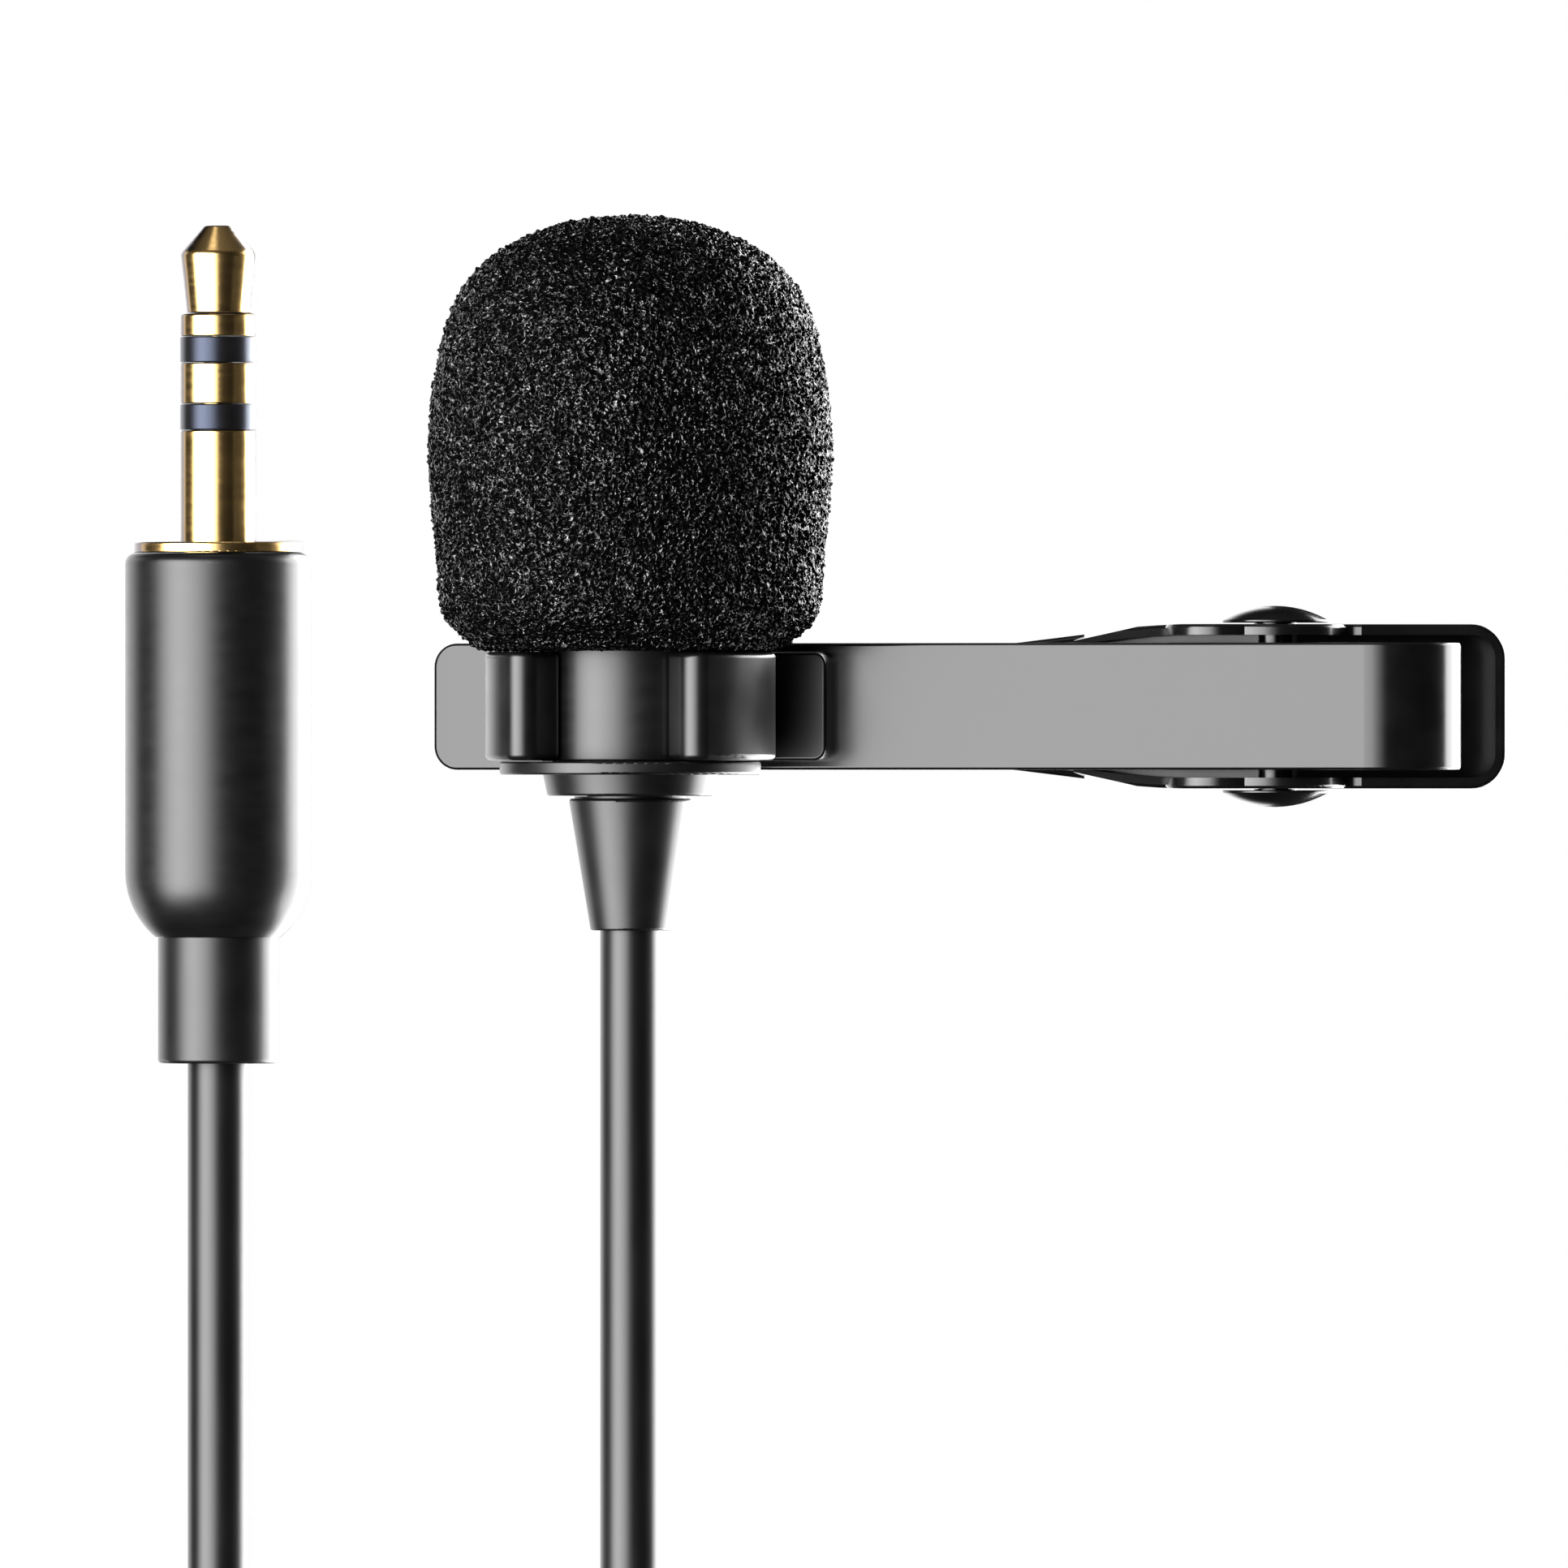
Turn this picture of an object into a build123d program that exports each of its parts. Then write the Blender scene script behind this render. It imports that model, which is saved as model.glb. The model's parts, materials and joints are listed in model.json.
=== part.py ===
from build123d import *

import os
from math import asin, cos, radians, sin, tan

# Lavalier microphone: a clip, a capsule microphone under a foam windscreen, a coiled lead and a
# 3.5 mm three-pole plug. Millimetres. +Z is up along the microphone, +X runs along the clip's arm
# towards its tail, and the front is -Y. The origin is on the arm's back (cloth) face, level with
# the microphone's axis and the middle of its clamp.

# Clip arm: a flat strip whose tail end is bent back towards the lever
ARM_TIP_X = -11.4
ARM_HALF_WIDTH = 2.95
ARM_THICKNESS = 0.8
ARM_BEND_X = 33.15
ARM_BEND_RADIUS = 3.8
ARM_TIP_CORNER = 1.1
ARM_END_CORNER = 0.25
ARM_EDGE = 0.15

# Microphone clamp: a moulded C with a base pad, riveted to the arm
MIC_RADIUS = 4.15
CLAMP_CLEARANCE = 0.05
CLAMP_OUTER_RADIUS = 6.74
CLAMP_HALF_HEIGHT = 2.52
CLAMP_OPENING_HALF_ANGLE = 36.0
CLAMP_OPENING_TURN = 1.5
PAD_HALF_LENGTH = 7.85
PAD_THICKNESS = 1.6
MIC_DEPTH = 7.6
MIC_Y = -ARM_THICKNESS - MIC_DEPTH
RIVET_Z = 1.35
RIVET_SHANK_RADIUS = 0.55
RIVET_HEAD_RADIUS = 0.95
SNUG = 0.02

# Lever: pressed sheet with a toothed jaw, two ears on the pin and a tray-shaped thumb tail
SHEET = 0.5
SHEET_BEND = 0.6
RIM_EDGE = 0.18
FLANGE_EDGE = 0.45
PIN_X = 27.9
PIN_Y = 3.6
TAIL_ANGLE = 18
RIM_X = 32.0
RIM_Y = 3.7
TAIL_END_X = 38.42
TRAY_DEPTH = 3.5
TRAY_CORNER = 1.6
EAR_RADIUS = 3.35
SHOULDER_X = 25.5
SHOULDER_Y = 2.0
SHOULDER_RADIUS = 2.4
EAR_START_X = 18.7
EAR_START_Y = 1.7
JAW_TIP_X = -11.2
JAW_TIP_Y = 2.05
JAW_FLANGE = 1.4
JAW_HALF_WIDTH = 2.6
LEVER_HALF_WIDTH = 3.82
FLARE_START_X = 12.4
FLARE_END_X = 22.3
FLARE_RADIUS = 25
TEETH = 5
TOOTH_DEPTH = 0.8
JAW_GAP = 0.03

# Pivot: bracket under the arm, headed pin and torsion spring
PIN_RADIUS = 0.8
PIN_HEAD_RADIUS = 2.465
PIN_HEAD_HEIGHT = 0.78
PIN_NECK_RADIUS = 1.0
PIN_HEAD_Z = 3.9
PIN_HOLE_CLEARANCE = 0.05
BRACKET_HALF_WIDTH = 2.85
BRACKET_SHEET = 0.6
BRACKET_HALF_LENGTH = 3.0
BRACKET_EAR_RADIUS = 1.45
SPRING_RADIUS = 1.06
SPRING_WIRE_RADIUS = 0.2
SPRING_PITCH = 0.46
SPRING_TURNS = 4
SPRING_LEG = 6.4
SPRING_ARM_ANGLE = 21
SPRING_TRAY_ANGLE = TAIL_ANGLE + 4

# Microphone: tube, base with flange and collar, rubber strain relief, electret capsule
MIC_WALL = 0.5
MIC_TOP_Z = 12.5
GRILLE_THICKNESS = 0.6
FLANGE_RADIUS = 6.06
FLANGE_TOP_Z = -2.55
FLANGE_BOTTOM_Z = -3.18
COLLAR_TOP_RADIUS = 4.05
COLLAR_BOTTOM_RADIUS = 3.85
COLLAR_BOTTOM_Z = -4.16
CONE_TOP_Z = -4.28
CONE_BOTTOM_Z = -10.4
CONE_NECK_RADIUS = 2.6
CONE_TOP_RADIUS = 2.86
CONE_BOTTOM_RADIUS = 1.84
CABLE_RADIUS = 1.4
CABLE_TOP_Z = 0.4
CAPSULE_RADIUS = 3.0
CAPSULE_BOTTOM_Z = 8.6
CAPSULE_TOP_Z = 11.3
CAPSULE_WALL = 0.25

# Foam windscreen
FOAM_BOTTOM_Z = 2.55
FOAM_TOP_Z = 22.8
FOAM_RADIUS = 9.37
FOAM_BORE_TOP_Z = 14.2

# Plug: three-pole 3.5 mm jack, shell and strain relief
PLUG_X = -19.8
PLUG_RADIUS = 1.75
TIP_TOP_Z = 22.36
TIP_BOTTOM_Z = 17.22
RING_TOP_Z = 15.97
RING_BOTTOM_Z = 14.08
SLEEVE_TOP_Z = 12.83
SHOULDER_TOP_Z = 7.64
SHOULDER_BOTTOM_Z = 7.15
SHOULDER_DISC_RADIUS = 3.93
SHELL_RADIUS = 4.305
SHELL_WALL = 0.8
SHELL_EDGE = 0.5
SHELL_STRAIGHT_Z = -7.7
SHELL_BOTTOM_Z = -10.73
BOOT_RADIUS = 2.78
BOOT_BOTTOM_Z = -16.6

# Lead: one cable hung from the microphone, wound into a hank, and up to the plug
LEAD_STRAIGHT_Z = -40.6
HANK_Z = -77.0
HANK_RADIUS = 22.0
HANK_BUNDLE_RADIUS = 4.35
HANK_TURNS = 8.75
HANK_ENTRY_ANGLE = 45
HANK_LAY = 40
HANK_LAY_START = 5
CABLE_PLUG_END_Z = -4.5


def outline(points, corners=None):
    """A closed flat outline through the points, with the numbered corners rounded."""
    face = make_face(Polyline(*points, close=True))
    for number, radius in (corners or {}).items():
        corner = face.vertices().sort_by_distance(points[number])[0]
        face = fillet(corner, radius)
    return face


def turned(points, corners=None, x=0.0):
    """A solid turned about a vertical axis at x, from an outline of (radius, height) points."""
    body = revolve(Plane.XZ * outline(points, corners), Axis.Z)
    return Pos(x, MIC_Y, 0) * body


def tube(outer, inner, bottom, top, edge=0.0, x=0.0):
    """A plain upright tube, or a disc where inner is 0, with its outer edges rounded."""
    points = [(inner, bottom), (outer, bottom), (outer, top), (inner, top)]
    corners = {1: edge, 2: edge} if edge else None
    return turned(points, corners, x)


def crosswise(radius, start_y, end_y, x=0.0, z=0.0):
    """A round bar along Y."""
    middle = (start_y + end_y) / 2
    return Pos(x, middle, z) * Rot(90, 0, 0) * Cylinder(radius, abs(end_y - start_y))


# ---------------------------------------------------------------- clip


def clip_arm():
    """Flat spring-steel strip, its tail bent through a right angle."""
    inner = ARM_BEND_RADIUS - ARM_THICKNESS
    bend_y = ARM_BEND_RADIUS - ARM_THICKNESS
    flat = outline([(ARM_TIP_X, -ARM_THICKNESS), (ARM_BEND_X, -ARM_THICKNESS), (ARM_BEND_X, 0), (ARM_TIP_X, 0)])
    ring = Circle(ARM_BEND_RADIUS) - Circle(inner)
    quarter = Pos(ARM_BEND_RADIUS / 2, -ARM_BEND_RADIUS / 2) * Rectangle(ARM_BEND_RADIUS, ARM_BEND_RADIUS)
    side = flat + Pos(ARM_BEND_X, bend_y) * (ring & quarter)
    strip = extrude(side, ARM_HALF_WIDTH, both=True)
    tip = strip.edges().filter_by(Axis.Y).group_by(Axis.X)[0]
    strip = fillet(tip, ARM_TIP_CORNER)
    end = strip.edges().filter_by(Axis.X).group_by(Axis.Y)[-1]
    end = [edge for edge in end if edge.length < 2 * ARM_THICKNESS]
    strip = fillet(end, ARM_END_CORNER)
    front = strip.faces().filter_by(Axis.Y).sort_by(Axis.Y)[0]
    bend = strip.faces().filter_by(GeomType.CYLINDER).sort_by(Axis.X)
    bend = [face for face in bend if face.center().X > ARM_BEND_X and face.area > 30][-1]
    shared = {edge.center().to_tuple() for edge in front.edges()} & {
        edge.center().to_tuple() for edge in bend.edges()
    }
    rims = [edge for edge in front.edges() + bend.edges() if edge.center().to_tuple() not in shared]
    strip = fillet(rims, ARM_EDGE)
    for z in (-RIVET_Z, RIVET_Z):
        strip -= rivet(z, SNUG)
    return strip


def rivet(z, extra=0.0):
    """One clamp rivet along Y: sunk head in the clamp's wall, flush spread tail in the arm."""
    head_y = MIC_Y + MIC_RADIUS + 0.35
    head = crosswise(RIVET_HEAD_RADIUS + extra, head_y - extra, head_y + 0.6 + extra, z=z)
    shank = crosswise(RIVET_SHANK_RADIUS + extra, head_y, 0, z=z)
    spread = 0.35
    tail = Cone(RIVET_SHANK_RADIUS + extra, RIVET_HEAD_RADIUS + extra, spread)
    tail = Pos(0, -spread / 2, z) * Rot(-90, 0, 0) * tail
    return head + shank + tail


def clamp_rivets():
    return Compound(children=[rivet(-RIVET_Z), rivet(RIVET_Z)])


def mic_clamp():
    """C-shaped holder on a rectangular pad."""
    bore = MIC_RADIUS + CLAMP_CLEARANCE
    reach = 2 * CLAMP_OUTER_RADIUS
    left = radians(CLAMP_OPENING_HALF_ANGLE - CLAMP_OPENING_TURN)
    right = radians(CLAMP_OPENING_HALF_ANGLE + CLAMP_OPENING_TURN)
    mouth = outline([(0, 0), (-reach * sin(left), -reach * cos(left)), (reach * sin(right), -reach * cos(right))])
    ring = Circle(CLAMP_OUTER_RADIUS) - Circle(bore) - mouth
    lips = ring.vertices()
    outer_lips = [v for v in lips if v.center().length > CLAMP_OUTER_RADIUS - 0.1 and v.Y < 0]
    ring = fillet(outer_lips, 0.94)
    inner_lips = [v for v in ring.vertices() if v.center().length < bore + 0.1 and v.Y < 0]
    ring = fillet(inner_lips, 0.4)
    holder = Pos(0, MIC_Y, 0) * extrude(ring, CLAMP_HALF_HEIGHT, both=True)
    holder = fillet([edge for face in holder.faces().filter_by(Axis.Z) for edge in face.edges()], 0.3)
    pad = Pos(0, -ARM_THICKNESS - PAD_THICKNESS / 2, 0) * Box(
        2 * PAD_HALF_LENGTH, PAD_THICKNESS, 2 * CLAMP_HALF_HEIGHT
    )
    pad = fillet(pad.edges().filter_by(Axis.Y), 0.6)
    pad = fillet(pad.faces().sort_by(Axis.Y)[0].edges(), 0.15)
    body = holder + pad
    for z in (-RIVET_Z, RIVET_Z):
        body -= rivet(z, SNUG)
        body -= crosswise(RIVET_HEAD_RADIUS + SNUG, MIC_Y, MIC_Y + MIC_RADIUS + 0.5, z=z)
    return body


def pivot_bracket():
    """U bracket spot-welded under the arm; its ears carry the pin."""
    foot = Pos(PIN_X, BRACKET_SHEET / 2) * Rectangle(2 * BRACKET_HALF_LENGTH, BRACKET_SHEET)
    ear = foot + Pos(PIN_X, PIN_Y) * Circle(BRACKET_EAR_RADIUS)
    ear += outline(
        [
            (PIN_X - 2.4, 0),
            (PIN_X + 2.4, 0),
            (PIN_X + BRACKET_EAR_RADIUS, PIN_Y),
            (PIN_X - BRACKET_EAR_RADIUS, PIN_Y),
        ]
    )
    ears = extrude(ear, BRACKET_HALF_WIDTH, both=True)
    inside = BRACKET_HALF_WIDTH - BRACKET_SHEET
    ears -= Pos(PIN_X, BRACKET_SHEET + 5, 0) * Box(12, 10, 2 * inside)
    ears -= Pos(PIN_X, PIN_Y, 0) * Cylinder(PIN_RADIUS + SNUG / 2, 2 * LEVER_HALF_WIDTH)
    return ears


def hinge_pin():
    """Shouldered pin with a low domed head at each end."""
    radius = PIN_HEAD_RADIUS
    top = PIN_HEAD_Z + PIN_HEAD_HEIGHT
    rim = PIN_HEAD_Z + 0.12
    height = top - rim
    dome = (radius**2 + height**2) / (2 * height)
    middle = (radius / 2, top - dome + (dome**2 - radius**2 / 4) ** 0.5)
    shoulder = LEVER_HALF_WIDTH + SNUG
    right = [
        (0, -top),
        (radius, -rim),
        (radius, -PIN_HEAD_Z),
        (PIN_NECK_RADIUS, -PIN_HEAD_Z),
        (PIN_NECK_RADIUS, -shoulder),
        (PIN_RADIUS, -shoulder),
        (PIN_RADIUS, shoulder),
        (PIN_NECK_RADIUS, shoulder),
        (PIN_NECK_RADIUS, PIN_HEAD_Z),
        (radius, PIN_HEAD_Z),
        (radius, rim),
        (0, top),
    ]
    edges = [ThreePointArc(right[0], (middle[0], -middle[1]), right[1])]
    edges += [Line(start, end) for start, end in zip(right[1:-2], right[2:-1])]
    edges += [ThreePointArc(right[-2], middle, right[-1]), Line(right[-1], right[0])]
    profile = make_face(edges)
    rims = [v for v in profile.vertices() if v.X > radius - 0.01]
    return Pos(PIN_X, PIN_Y, 0) * revolve(Plane.XZ * fillet(rims, 0.05), Axis.Z)


def spring_path():
    """Wire path of the torsion spring: a leg on the tray, the coil, a leg on the arm."""
    start = 90 + SPRING_TRAY_ANGLE
    finish = 270 - SPRING_ARM_ANGLE
    sweep_angle = finish - start + 360 * SPRING_TURNS
    height = SPRING_PITCH * sweep_angle / 360
    coil = Helix(pitch=SPRING_PITCH, height=height, radius=SPRING_RADIUS)
    coil = Pos(PIN_X, PIN_Y, -height / 2) * Rot(0, 0, start) * coil
    first = coil @ 0 - (coil % 0) * SPRING_LEG
    last = coil @ 1 + (coil % 1) * SPRING_LEG
    return Wire([Line(first, coil @ 0), coil, Line(coil @ 1, last)])


def torsion_spring():
    path = spring_path()
    section = Plane(path @ 0, z_dir=path % 0) * Circle(SPRING_WIRE_RADIUS)
    return sweep(section, path=path)


# ---------------------------------------------------------------- lever


def tail_line(x):
    """Height in Y of the tray's rim at x."""
    return RIM_Y + (x - RIM_X) * tan(radians(TAIL_ANGLE))


def lever_outer_points():
    """Corner points of the lever's sheet seen along the pin: rim end, floor end, bend, jaw tip."""
    normal = Vector(-sin(radians(TAIL_ANGLE)), cos(radians(TAIL_ANGLE)))
    rim_end = Vector(TAIL_END_X, tail_line(TAIL_END_X))
    floor_end = rim_end + normal * TRAY_DEPTH
    bend = Vector(PIN_X, floor_end.Y - (floor_end.X - PIN_X) * tan(radians(TAIL_ANGLE)))
    tip = Vector(JAW_TIP_X, JAW_TIP_Y)
    return rim_end, floor_end, bend, tip


def lever_side():
    """Side outline of the lever: jaw with its low flange, shoulder, pivot lobe and tray."""
    rim_end, floor_end, bend, tip = lever_outer_points()
    slope = (bend.Y - tip.Y) / (bend.X - tip.X)
    flange_end_y = tip.Y + slope * (EAR_START_X - tip.X) - JAW_FLANGE
    flange_start_y = tip.Y + slope * SHEET - JAW_FLANGE
    side = outline(
        [
            (rim_end.X, rim_end.Y),
            (floor_end.X, floor_end.Y),
            (bend.X, bend.Y),
            (tip.X, tip.Y),
            (tip.X, JAW_GAP),
            (tip.X + SHEET, JAW_GAP),
            (tip.X + SHEET, flange_start_y),
            (EAR_START_X, flange_end_y),
            (EAR_START_X, EAR_START_Y),
            (SHOULDER_X - 2.2, EAR_START_Y + 1.25),
            (SHOULDER_X, PIN_Y),
            (RIM_X, RIM_Y),
        ]
    )
    side += Pos(SHOULDER_X, SHOULDER_Y) * Circle(SHOULDER_RADIUS)
    side += Pos(PIN_X, PIN_Y) * Circle(EAR_RADIUS)
    heel = side.vertices().sort_by_distance((PIN_X + EAR_RADIUS, PIN_Y + 0.05))[0]
    side = fillet(heel, 0.5)
    bend_corner = side.vertices().sort_by_distance((bend.X, bend.Y))[0]
    return fillet(bend_corner, 6)


def lever_plan(wall):
    """Plan outline of the lever, inset by the wall: narrow jaw flaring to the full width."""
    narrow = JAW_HALF_WIDTH - wall
    wide = LEVER_HALF_WIDTH - wall
    far = TAIL_END_X + 10
    half = [(JAW_TIP_X - 5, narrow), (FLARE_START_X, narrow), (FLARE_END_X, wide), (far, wide)]
    points = half + [(x, -z) for x, z in reversed(half)]
    plan = outline(points, {1: FLARE_RADIUS, 2: FLARE_RADIUS, 5: FLARE_RADIUS, 6: FLARE_RADIUS})
    return extrude(Plane.XZ * plan, 30, both=True)


def upright_tail_edges(body):
    """The two corner edges where the tail's end wall meets its side walls."""
    limit = TAIL_END_X - 4
    edges = [e for e in body.edges() if e.center().X > limit and abs(e.center().Z) > 2.5]
    lean = Vector(-sin(radians(TAIL_ANGLE)), cos(radians(TAIL_ANGLE)), 0)
    return [e for e in edges if abs((e % 0.5).dot(lean)) > 0.99]


def lever_cavity():
    """Space inside the pressed sheet, open towards the arm."""
    rim_end, floor_end, bend, tip = lever_outer_points()
    along = Vector(cos(radians(TAIL_ANGLE)), sin(radians(TAIL_ANGLE)))
    normal = Vector(-along.Y, along.X)
    end = rim_end - along * SHEET
    low = end + normal * (TRAY_DEPTH - SHEET)
    high = end - normal * 20
    side = outline(
        [
            (high.X, high.Y),
            (low.X, low.Y),
            (bend.X, bend.Y - SHEET),
            (tip.X + SHEET, tip.Y - SHEET),
            (tip.X + SHEET, -20),
        ],
        {2: 6 - SHEET},
    )
    space = extrude(side, LEVER_HALF_WIDTH - SHEET, both=True)
    space = fillet(upright_tail_edges(space), TRAY_CORNER - SHEET)
    return space & lever_plan(SHEET)


def jaw_teeth():
    """V notches across the lip of the jaw, leaving a row of teeth."""
    pitch = 2 * JAW_HALF_WIDTH / TEETH
    notch = outline([(-pitch / 2, 0), (pitch / 2, 0), (0, TOOTH_DEPTH)])
    notches = []
    for number in range(TEETH + 1):
        z = -JAW_HALF_WIDTH + number * pitch
        cut = extrude(Plane((JAW_TIP_X - 1, JAW_GAP - 0.01, z), x_dir=(0, 0, 1), z_dir=(1, 0, 0)) * notch, 3)
        notches.append(cut)
    return notches


def side_edges(body, facing, start_x, end_x):
    """Edges from start_x to end_x round the faces looking along +Y (facing 1) or -Y (facing -1)."""
    faces = [face for face in body.faces() if face.normal_at().Y * facing > 0.5]
    edges = [edge for face in faces for edge in face.edges() if start_x < edge.center().X < end_x]
    spots = [tuple(round(value, 3) for value in edge.center()) for edge in edges]
    return [edge for edge, spot in zip(edges, spots) if spots.count(spot) == 1]


def ear_facets(body):
    """Leans the front edge of each ear inwards, as the sheet is drawn in towards the jaw."""
    slope = (LEVER_HALF_WIDTH - JAW_HALF_WIDTH) / (FLARE_END_X - FLARE_START_X)
    start = Vector(EAR_START_X, 5.0, JAW_HALF_WIDTH + slope * (EAR_START_X - FLARE_START_X))
    rim = Vector(EAR_START_X, EAR_START_Y, start.Z - 0.33)
    fade = Vector(EAR_START_X + 2.9, 2.7, start.Z + slope * 2.9)
    for side in (1, -1):
        points = [Vector(p.X, p.Y, side * p.Z) for p in (start, rim, fade)]
        normal = (points[1] - points[0]).cross(points[2] - points[0]).normalized()
        if normal.Z * side < 0:
            normal = normal * -1
        plane = Plane(points[0], x_dir=points[2] - points[0], z_dir=normal)
        cutter = plane * (Pos(0, 0, 1) * Box(9, 9, 2))
        window = Pos(EAR_START_X + 1.5, 3, side * 3.4) * Box(3, 8, 2)
        body -= cutter & window
    return body


def clip_lever():
    """Pressed lever: block cut to its side and plan outlines, hollowed, drilled and toothed."""
    block = extrude(lever_side(), LEVER_HALF_WIDTH, both=True)
    block = fillet(upright_tail_edges(block), TRAY_CORNER)
    block = block & lever_plan(0)
    block = fillet(side_edges(block, -1, EAR_START_X + 0.1, TAIL_END_X + 1), RIM_EDGE)
    block = fillet(side_edges(block, -1, JAW_TIP_X + 0.6, EAR_START_X - 0.1), FLANGE_EDGE)
    block = fillet(side_edges(block, 1, JAW_TIP_X + 0.5, TAIL_END_X + 1), SHEET_BEND)
    block = block - lever_cavity()
    block -= Pos(PIN_X, PIN_Y, 0) * Cylinder(PIN_RADIUS + PIN_HOLE_CLEARANCE, 4 * LEVER_HALF_WIDTH)
    for notch in jaw_teeth():
        block -= notch
    return ear_facets(block)


# ---------------------------------------------------------------- microphone


def windscreen():
    """Foam ball with a blind bore that slips over the microphone."""
    bore = MIC_RADIUS + CLAMP_CLEARANCE
    skin = Spline(
        (0, FOAM_TOP_Z),
        (4.6, FOAM_TOP_Z - 0.85),
        (7.5, 19.9),
        (9.0, 16.0),
        (FOAM_RADIUS, 10.2),
        (8.95, 5.6),
        (7.5, 3.0),
        tangents=[(1, 0), (-0.85, -0.53)],
    )
    edges = [
        skin,
        ThreePointArc((7.5, 3.0), (7.2, 2.7), (6.7, FOAM_BOTTOM_Z)),
        Line((6.7, FOAM_BOTTOM_Z), (bore, FOAM_BOTTOM_Z)),
        Line((bore, FOAM_BOTTOM_Z), (bore, FOAM_BORE_TOP_Z - 1)),
        ThreePointArc(
            (bore, FOAM_BORE_TOP_Z - 1),
            (bore - 0.3, FOAM_BORE_TOP_Z - 0.3),
            (bore - 1, FOAM_BORE_TOP_Z),
        ),
        Line((bore - 1, FOAM_BORE_TOP_Z), (0, FOAM_BORE_TOP_Z)),
        Line((0, FOAM_BORE_TOP_Z), (0, FOAM_TOP_Z)),
    ]
    return Pos(0, MIC_Y, 0) * revolve(Plane.XZ * make_face(edges), Axis.Z)


def mic_housing():
    inner = MIC_RADIUS - MIC_WALL
    return tube(MIC_RADIUS, inner, FLANGE_TOP_Z, MIC_TOP_Z, 0.1)


def mic_grille():
    """Perforated cap let into the top of the housing."""
    top = MIC_TOP_Z + GRILLE_THICKNESS
    stem = MIC_RADIUS - MIC_WALL - SNUG
    cap = turned(
        [
            (0, MIC_TOP_Z),
            (stem - 0.4, MIC_TOP_Z),
            (stem - 0.4, MIC_TOP_Z - 0.6),
            (stem, MIC_TOP_Z - 0.6),
            (stem, MIC_TOP_Z),
            (MIC_RADIUS, MIC_TOP_Z),
            (MIC_RADIUS, top),
            (0, top),
        ],
        {6: 0.3},
    )
    hole = Cylinder(0.28, 4)
    for ring, count in ((0.0, 1), (1.0, 6), (2.0, 12)):
        for number in range(count):
            spot = PolarLocations(ring, count).locations[number] if ring else Location()
            cap -= Pos(0, MIC_Y, MIC_TOP_Z) * spot * hole
    return cap


def mic_base():
    """End piece: plug inside the housing, flange under the clamp and a tapered collar."""
    stem = MIC_RADIUS - MIC_WALL - SNUG
    bore = 2.0 + SNUG
    return turned(
        [
            (bore, -0.9),
            (stem, -0.9),
            (stem, FLANGE_TOP_Z - SNUG),
            (FLANGE_RADIUS, FLANGE_TOP_Z - SNUG),
            (FLANGE_RADIUS, FLANGE_BOTTOM_Z),
            (COLLAR_TOP_RADIUS, FLANGE_BOTTOM_Z),
            (COLLAR_BOTTOM_RADIUS, COLLAR_BOTTOM_Z),
            (bore, COLLAR_BOTTOM_Z),
        ],
        {3: 0.12, 4: 0.12, 6: 0.15},
    )


def strain_relief():
    """Rubber cone pulled through the base and held by a bead inside it."""
    hole = CABLE_RADIUS + SNUG
    return turned(
        [
            (hole, -0.2),
            (2.9, -0.2),
            (2.9, -0.9 + SNUG),
            (2.0, -0.9 + SNUG),
            (2.0, COLLAR_BOTTOM_Z - SNUG),
            (CONE_NECK_RADIUS, COLLAR_BOTTOM_Z - SNUG),
            (CONE_NECK_RADIUS, CONE_TOP_Z),
            (CONE_TOP_RADIUS, CONE_TOP_Z),
            (CONE_BOTTOM_RADIUS, CONE_BOTTOM_Z),
            (hole, CONE_BOTTOM_Z),
        ],
        {7: 0.15, 8: 0.12},
    )


def capsule_boot():
    inner = CAPSULE_RADIUS + SNUG
    outer = MIC_RADIUS - MIC_WALL - SNUG
    return tube(outer, inner, CAPSULE_BOTTOM_Z - 0.4, CAPSULE_TOP_Z, 0.1)


def capsule_can():
    """Aluminium can, open below, with one sound port."""
    inner = CAPSULE_RADIUS - CAPSULE_WALL
    return turned(
        [
            (inner, CAPSULE_BOTTOM_Z),
            (CAPSULE_RADIUS, CAPSULE_BOTTOM_Z),
            (CAPSULE_RADIUS, CAPSULE_TOP_Z),
            (1.0, CAPSULE_TOP_Z),
            (1.0, CAPSULE_TOP_Z - CAPSULE_WALL),
            (inner, CAPSULE_TOP_Z - CAPSULE_WALL),
        ],
        {2: 0.15},
    )


def capsule_disc(outer, inner, top, thickness):
    return tube(outer, inner, top - thickness, top)


def backplate():
    """Charged plate with vent holes."""
    plate = capsule_disc(2.2, 0, CAPSULE_TOP_Z - 0.62, 0.3)
    for number in range(4):
        spot = PolarLocations(1.3, 4).locations[number]
        plate -= Pos(0, MIC_Y, CAPSULE_TOP_Z - 0.7) * spot * Cylinder(0.2, 2)
    return plate


def jfet():
    """Small transistor package on the capsule's board."""
    bottom = CAPSULE_BOTTOM_Z + 0.36
    return Pos(0, MIC_Y, bottom + 0.4) * Box(1.3, 2.0, 0.8)


def mic_wires():
    """Two insulated wires from the cable's end to the capsule's board."""
    wires = []
    for side in (-1, 1):
        x = side * 0.55
        foot = (x, MIC_Y, CABLE_TOP_Z + SNUG)
        head = (side * 1.4, MIC_Y, CAPSULE_BOTTOM_Z - SNUG)
        path = Spline(foot, head, tangents=[(0, 0, 1), (0, 0, 1)])
        section = Plane(foot, z_dir=(0, 0, 1)) * Circle(0.35)
        wires.append(sweep(section, path=path))
    return Compound(children=wires)


# ---------------------------------------------------------------- plug


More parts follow.
